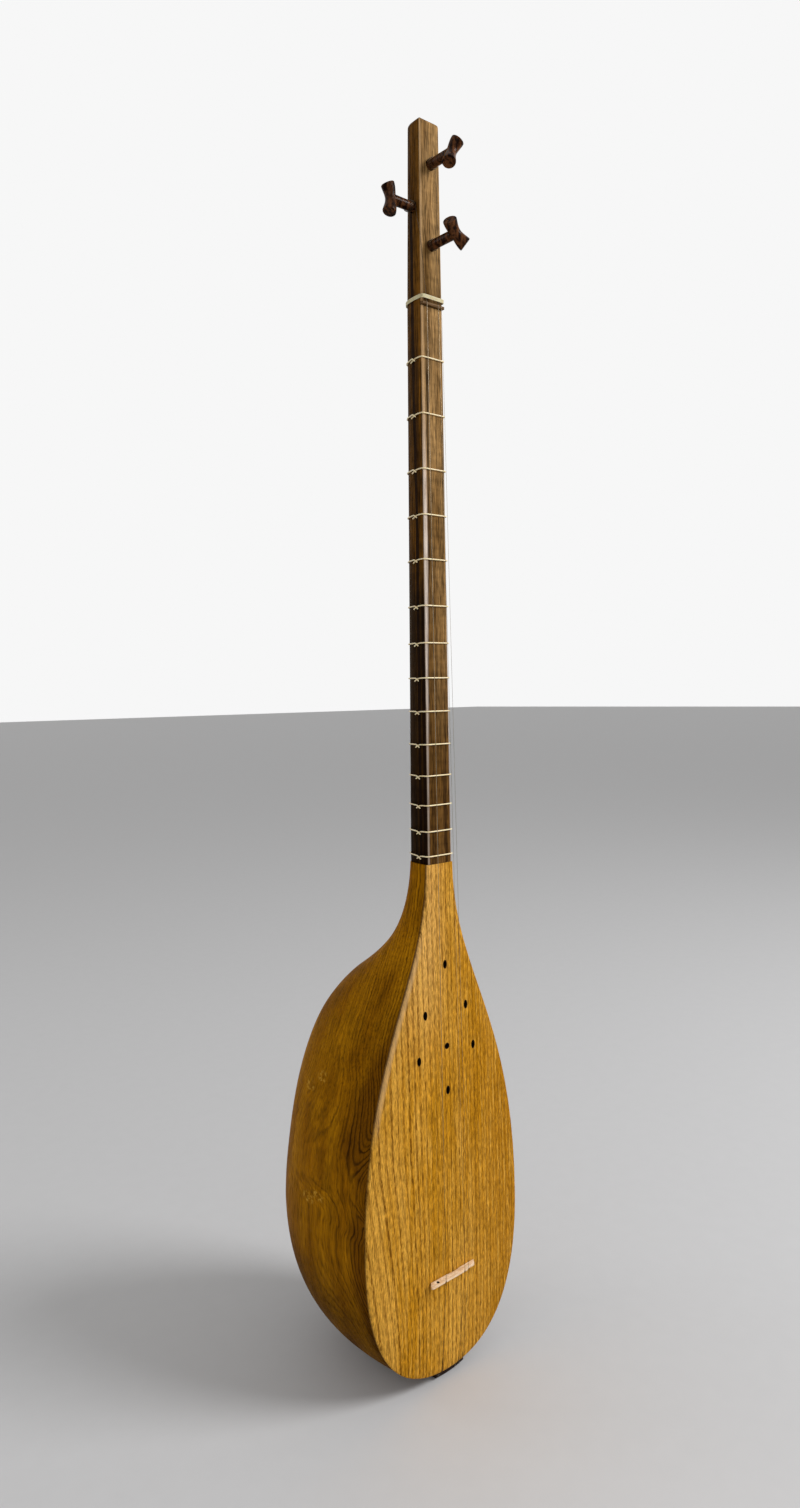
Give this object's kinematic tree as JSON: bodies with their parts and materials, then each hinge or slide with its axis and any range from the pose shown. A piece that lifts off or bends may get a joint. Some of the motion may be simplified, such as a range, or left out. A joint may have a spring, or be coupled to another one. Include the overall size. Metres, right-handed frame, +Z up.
{
  "type": "tanbur",
  "caption": "Long-necked lute with a deep carved bowl, domed soundboard with small sound holes, tied gut frets, friction pegs and steel strings.",
  "frame": {"origin": "on the instrument's centre line, on the flat lower face of the tailpiece that it stands on", "axes": "+Z up the neck along the strings, +Y from the soundboard into the bowl, +X to the right of the soundboard seen from the front"},
  "size_m": [0.144, 0.1753, 0.8544],
  "materials": {
    "bowl_wood": "satin varnish",
    "board_wood": "satin varnish",
    "neck_wood": "satin varnish",
    "nut_wood": "satin",
    "bridge_wood": "bare, fine sanded",
    "tail_wood": "satin varnish",
    "peg_wood": "polished",
    "gut": "dried gut, satin",
    "string_steel": "drawn wire",
    "pin_steel": "satin"
  },
  "bodies": {
    "instrument": {"bowl": "bowl_wood", "soundboard": "board_wood", "neck": "neck_wood", "nut": "nut_wood", "bridge": "bridge_wood", "tailpiece": "tail_wood", "nut_binding": "gut", "fret_01": "gut", "fret_02": "gut", "fret_03": "gut", "fret_04": "gut", "fret_05": "gut", "fret_06": "gut", "fret_07": "gut", "fret_08": "gut", "fret_09": "gut", "fret_10": "gut", "fret_11": "gut", "fret_12": "gut", "fret_13": "gut", "fret_14": "gut", "string_1": "string_steel", "string_2": "string_steel", "string_3": "string_steel", "hitch_pin_1": "pin_steel", "hitch_pin_2": "pin_steel", "hitch_pin_3": "pin_steel"},
    "upper_peg": {"peg_1": "peg_wood", "string_winding_1": "string_steel"},
    "side_peg": {"peg_2": "peg_wood", "string_winding_2": "string_steel"},
    "lower_peg": {"peg_3": "peg_wood", "string_winding_3": "string_steel"}
  },
  "joints": [
    {"name": "upper_peg_turn", "type": "hinge", "parent": "instrument", "child": "upper_peg", "pos_m": [0.0005, -0.0145, 0.8258], "axis": [0, -1, 0], "continuous": true},
    {"name": "side_peg_turn", "type": "hinge", "parent": "instrument", "child": "side_peg", "pos_m": [-0.0089, -0.0073, 0.7989], "axis": [-1, 0, 0], "continuous": true},
    {"name": "lower_peg_turn", "type": "hinge", "parent": "instrument", "child": "lower_peg", "pos_m": [0.0003, -0.0145, 0.7743], "axis": [0, -1, 0], "continuous": true}
  ]
}
